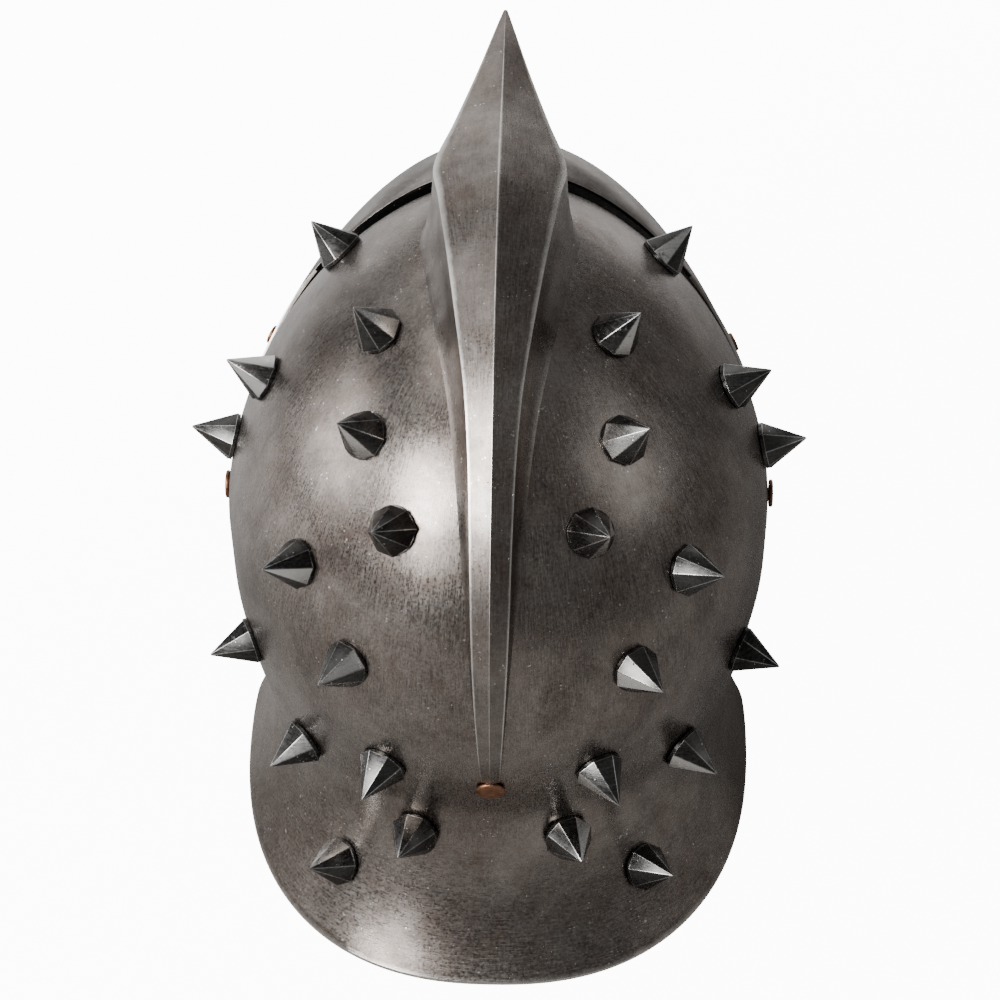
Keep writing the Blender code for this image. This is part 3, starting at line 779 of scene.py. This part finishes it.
def join_pieces(name, pieces):
    """Several parts as one mesh, whose object sits at the origin."""
    bpy.ops.object.select_all(action="DESELECT")
    for piece in pieces:
        piece.select_set(True)
    bpy.context.view_layer.objects.active = pieces[0]
    bpy.ops.object.join()
    piece = bpy.context.object
    bpy.ops.object.transform_apply(location=True, rotation=True, scale=True)
    piece.name = name
    piece.data.name = name
    return piece


black, black_worked, black_shader = steel_shader(
    "blackened_steel_finish",
    level_brushing,
    dark=(0.022, 0.021, 0.020),
    light=(0.11, 0.108, 0.105),
    patina=1.2,
    brush_depth=1.0,
    pit_amount=1.0,
    gloss=0.30,
    bump=0.00010,
)
black_worked.inputs["Tint"].default_value = 0.08

# Where a facet's "ground" value is high, its metal lies bare up to ragged edges
GROUND_STEEL = (0.72, 0.71, 0.69)
tree = black.node_tree
grind = tree.nodes.new("ShaderNodeAttribute")
grind.attribute_name = "ground"
where = tree.nodes.new("ShaderNodeTexCoord")
patches = noise_node(tree, where.outputs["Object"], scale=240.0, detail=5.0, roughness=0.75)
bare = plus(tree, grind.outputs["Fac"], times(tree, less(tree, patches, 0.5), 1.3))
bare = ranged(tree, bare, 0.42, 0.62)
colour = blend(tree, bare, black_worked.outputs["Color"], GROUND_STEEL)
tree.links.new(colour, black_shader.inputs["Base Color"])

worn_edge, _, _ = steel_shader(
    "worn_edge_finish",
    level_brushing,
    dark=(0.10, 0.10, 0.10),
    light=(0.62, 0.61, 0.60),
    patina=1.0,
    brush_depth=0.8,
    pit_amount=0.8,
    gloss=0.28,
)


def model_spike(variant):
    """One spike and its collar at the origin, with a foot that is chamfered under. Each variant has
    corners and ground facets of its own."""
    bpy.ops.object.select_all(action="DESELECT")
    bpy.ops.mesh.primitive_cone_add(
        vertices=SPIKE_SIDES,
        radius1=SPIKE_HALF_WIDTH,
        depth=SPIKE_HEIGHT,
        location=(0.0, 0.0, COLLAR_HEIGHT + SPIKE_HEIGHT / 2),
        rotation=(0.0, 0.0, math.pi / SPIKE_SIDES),
    )
    point = bpy.context.object
    bpy.ops.object.transform_apply(location=True, rotation=True, scale=True)
    point.data.materials.append(black)
    point.data.materials.append(worn_edge)
    noise.seed_set(SPIKE_SEED + variant)
    for vert in point.data.vertices:
        slip = noise.random_unit_vector() * SPIKE_SLIP
        if vert.co.z < COLLAR_HEIGHT + 0.001:
            inward = -Vector((vert.co.x, vert.co.y, 0.0)) * SPIKE_CORNER_INSET
            vert.co += Vector((slip.x, slip.y, 0.0)) + inward
        else:
            vert.co += Vector((slip.x, slip.y, -abs(slip.z)))
    grind = point.data.attributes.new("ground", "FLOAT", "FACE")
    for facet in point.data.polygons:
        chance = noise.random()
        ground = chance > 1.0 - GROUND_FACET_CHANCE
        grind.data[facet.index].value = between(0.6, 1.0, noise.random()) if ground else 0.36 * chance
    bpy.ops.object.mode_set(mode="EDIT")
    bpy.ops.mesh.select_all(action="DESELECT")
    bpy.ops.object.mode_set(mode="OBJECT")
    for facet in point.data.polygons:
        facet.select = facet.normal.z < -0.9
    bpy.ops.object.mode_set(mode="EDIT")
    bpy.ops.mesh.extrude_region_move(TRANSFORM_OT_translate={"value": (0.0, 0.0, -SPIKE_CHAMFER)})
    bpy.ops.transform.resize(value=(SPIKE_FOOT_SHARE, SPIKE_FOOT_SHARE, 1.0))
    bpy.ops.mesh.select_all(action="SELECT")
    bpy.ops.mesh.bevel(offset=SPIKE_EDGE_WEAR, segments=2, material=1, clamp_overlap=True)
    bpy.ops.object.mode_set(mode="OBJECT")
    bpy.ops.mesh.primitive_cylinder_add(
        vertices=32, radius=COLLAR_HALF_WIDTH, depth=COLLAR_HEIGHT, location=(0.0, 0.0, COLLAR_HEIGHT / 2)
    )
    collar = bpy.context.object
    collar.data.materials.append(black)
    return point, collar


spike_nodes = sorted(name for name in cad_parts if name.startswith("spike_"))
for number, node in enumerate(spike_nodes):
    middle, axis, top, bottom = fastener_place(node)
    foot = middle + axis * (top - COLLAR_HEIGHT - SPIKE_HEIGHT)
    point, collar = model_spike(number)
    shank = add_shank(top - bottom - COLLAR_HEIGHT - SPIKE_HEIGHT - PEEN_HEIGHT)
    spike = join_pieces(node + "_worked", [point, collar] + shank)
    spike.data.transform(upright_matrix(foot, axis))
    bpy.ops.object.shade_smooth_by_angle(angle=math.radians(24))
    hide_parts(node)
    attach(spike, "root")


# Rivets. Low round heads of copper, at the comb's foot, on both sides of the bowl and at the visor's
# temples, each on a shank that is peened over inside. The copper has toned brown in patches.
RIVET_HALF_WIDTH = 0.00575
VISOR_RIVET_HALF_WIDTH = 0.0040
RIVET_HEIGHT = 0.0016
RIVET_ROUNDING = 0.0007
RIVET_CROWN_STEPS = (
    # inwards, as a share of the half-width, and up
    (0.12, 0.00005),
    (0.35, 0.00008),
)


def model_rivet(half_width):
    """A rivet's head at the origin: a disc, rounded over by a bevel and very slightly crowned."""
    bpy.ops.object.select_all(action="DESELECT")
    bpy.ops.mesh.primitive_cylinder_add(
        vertices=48, radius=half_width, depth=RIVET_HEIGHT, location=(0.0, 0.0, RIVET_HEIGHT / 2)
    )
    head = bpy.context.object
    bpy.ops.object.transform_apply(location=True, rotation=True, scale=True)
    bpy.ops.object.mode_set(mode="EDIT")
    bpy.ops.mesh.select_all(action="DESELECT")
    bpy.ops.object.mode_set(mode="OBJECT")
    for facet in head.data.polygons:
        facet.select = facet.normal.z > 0.9
    bpy.ops.object.mode_set(mode="EDIT")
    for inward, upward in RIVET_CROWN_STEPS:
        bpy.ops.mesh.inset(thickness=half_width * inward, depth=0.0)
        bpy.ops.transform.translate(value=(0.0, 0.0, upward))
    bpy.ops.mesh.inset(thickness=half_width * 0.35, depth=0.0)
    bpy.ops.object.mode_set(mode="OBJECT")
    rounding = {"width": RIVET_ROUNDING, "segments": 4}
    apply_modifier(head, "BEVEL", limit_method="ANGLE", angle_limit=math.radians(50), **rounding)
    return head


DARK_COPPER = (0.10, 0.045, 0.024)
LIGHT_COPPER = (0.42, 0.21, 0.12)
copper, tree = new_material("aged_copper_finish")
shader = tree.nodes["Principled BSDF"]
shader.inputs["Metallic"].default_value = 1.0
where = tree.nodes.new("ShaderNodeTexCoord")
toned = noise_node(tree, where.outputs["Object"], scale=260.0, detail=5.0, roughness=0.7, distortion=0.4)
scratched = stretched(tree, where.outputs["Object"], (300.0, 900.0, 2600.0))
scratches = noise_node(tree, scratched, scale=1.0, detail=2.0, roughness=0.6)
share = ranged(tree, plus(tree, toned, times(tree, scratches, 0.35)), 0.48, 0.86)
colour = blend(tree, share, DARK_COPPER, LIGHT_COPPER)
tree.links.new(colour, shader.inputs["Base Color"])
tree.links.new(ranged(tree, toned, 0.3, 0.7, 0.55, 0.34), shader.inputs["Roughness"])
rise = tree.nodes.new("ShaderNodeBump")
rise.inputs["Distance"].default_value = 0.00008
tree.links.new(share, rise.inputs["Height"])
tree.links.new(rise.outputs["Normal"], shader.inputs["Normal"])

for node in sorted(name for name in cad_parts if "rivet" in name):
    middle, axis, top, bottom = fastener_place(node)
    foot = middle + axis * (top - RIVET_HEIGHT)
    head = model_rivet(VISOR_RIVET_HALF_WIDTH if node.startswith("visor") else RIVET_HALF_WIDTH)
    shank = add_shank(top - bottom - RIVET_HEIGHT - PEEN_HEIGHT)
    rivet = join_pieces(node + "_head", [head] + shank)
    rivet.data.transform(upright_matrix(foot, axis))
    bpy.ops.object.shade_smooth_by_angle(angle=math.radians(40))
    rivet.data.materials.clear()
    rivet.data.materials.append(copper)
    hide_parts(node)
    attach(rivet, "root")


# Floor: a white seamless sheet that glows white to camera rays alone, so that the camera sees it
# pure white. What the steel mirrors of it is painted shade behind the helmet, on the camera's side,
# and painted light in front.
FLOOR_PAINTED_SHADE = (0.33, 0.32, 0.31)
FLOOR_PAINTED_LIGHT = (0.88, 0.88, 0.88)
FLOOR_GLOW = 12.0
bpy.ops.object.select_all(action="DESELECT")
bpy.ops.mesh.primitive_plane_add(size=8.0, location=(0.0, 0.0, 0.0))
floor = bpy.context.object
floor.name = "floor"
paper, tree = new_material("floor_paper")
shader = tree.nodes["Principled BSDF"]
shader.inputs["Roughness"].default_value = 0.9
shader.inputs["Specular IOR Level"].default_value = 0.1
where = tree.nodes.new("ShaderNodeTexCoord")
parts = tree.nodes.new("ShaderNodeSeparateXYZ")
tree.links.new(where.outputs["Object"], parts.inputs["Vector"])
# Painted shade behind the helmet and painted light in front of it, in the floor's colour
forward = less(tree, times(tree, parts.outputs["X"], 0.75), parts.outputs["Y"])
grain = times(tree, noise_node(tree, where.outputs["Object"], scale=400.0), 0.03)
shade = plus(tree, ranged(tree, forward, 0.2, 0.6), grain)
tree.links.new(blend(tree, shade, FLOOR_PAINTED_SHADE, FLOOR_PAINTED_LIGHT), shader.inputs["Base Color"])
shader.inputs["Emission Color"].default_value = (1.0, 1.0, 1.0, 1.0)
rays = tree.nodes.new("ShaderNodeLightPath")
glow = times(tree, rays.outputs["Is Camera Ray"], FLOOR_GLOW)
tree.links.new(glow, shader.inputs["Emission Strength"])
floor.data.materials.append(paper)


# Studio light: a dim white surround, a strong soft box behind the helmet on the left of the camera,
# one more on that side, two wide ones in front of the helmet, low and high, and two weak ones, on
# top and on the right.
SURROUND_LIGHT = 0.17
world = bpy.data.worlds.new("studio")
world.use_nodes = True
surround = world.node_tree.nodes["Background"]
surround.inputs["Color"].default_value = (1.0, 1.0, 1.0, 1.0)
surround.inputs["Strength"].default_value = SURROUND_LIGHT
bpy.context.scene.world = world


def add_soft_box(name, place, aim_height, width, height, power):
    """A rectangular light that faces the helmet's middle line at a height above the floor."""
    lamp = bpy.data.lights.new(name, "AREA")
    lamp.shape = "RECTANGLE"
    lamp.size = width
    lamp.size_y = height
    lamp.energy = power
    box = bpy.data.objects.new(name, lamp)
    bpy.context.scene.collection.objects.link(box)
    direction = (Vector((0.0, 0.0, aim_height)) - Vector(place)).normalized()
    box.matrix_world = Matrix.Translation(place) @ direction.to_track_quat("-Z", "Y").to_matrix().to_4x4()


add_soft_box("soft_box_left", (1.00, 1.08, 1.12), 0.15, width=0.72, height=0.80, power=40.0)
add_soft_box("soft_box_side", (1.60, -0.10, 0.60), 0.15, width=0.9, height=0.6, power=8.5)
add_soft_box("soft_box_front", (0.1, -1.65, 0.25), 0.15, width=2.4, height=0.5, power=4.0)
add_soft_box("soft_box_above", (0.35, -1.30, 1.25), 0.25, width=2.0, height=0.8, power=5.5)
add_soft_box("soft_box_top", (0.70, -0.05, 1.75), 0.25, width=0.7, height=0.7, power=3.2)
add_soft_box("soft_box_right", (-1.45, 0.2, 0.85), 0.15, width=0.9, height=0.9, power=1.7)


# Camera: behind and above the helmet, as in the photo.
CAMERA_AZIMUTH = math.radians(181.5)
CAMERA_ELEVATION = math.radians(40.85)
CAMERA_DISTANCE = 1.2888
CAMERA_LENS = 113.0
CAMERA_SHIFT_X = 0.0011
CAMERA_SHIFT_Y = -0.0115
level_back = Vector((math.sin(CAMERA_AZIMUTH), -math.cos(CAMERA_AZIMUTH), 0.0))
back = level_back * math.cos(CAMERA_ELEVATION) + Vector((0.0, 0.0, math.sin(CAMERA_ELEVATION)))
right = Vector((math.cos(CAMERA_AZIMUTH), math.sin(CAMERA_AZIMUTH), 0.0))
up = back.cross(right)
lens = bpy.data.cameras.new("camera")
lens.lens = CAMERA_LENS
lens.sensor_width = 36.0
lens.shift_x = CAMERA_SHIFT_X
lens.shift_y = CAMERA_SHIFT_Y
lens.clip_end = 20.0
camera = bpy.data.objects.new("camera", lens)
bpy.context.scene.collection.objects.link(camera)
camera_turn = Matrix((right, up, back)).transposed().to_4x4()
camera.matrix_world = Matrix.Translation(skull_middle + back * CAMERA_DISTANCE) @ camera_turn
bpy.context.scene.camera = camera
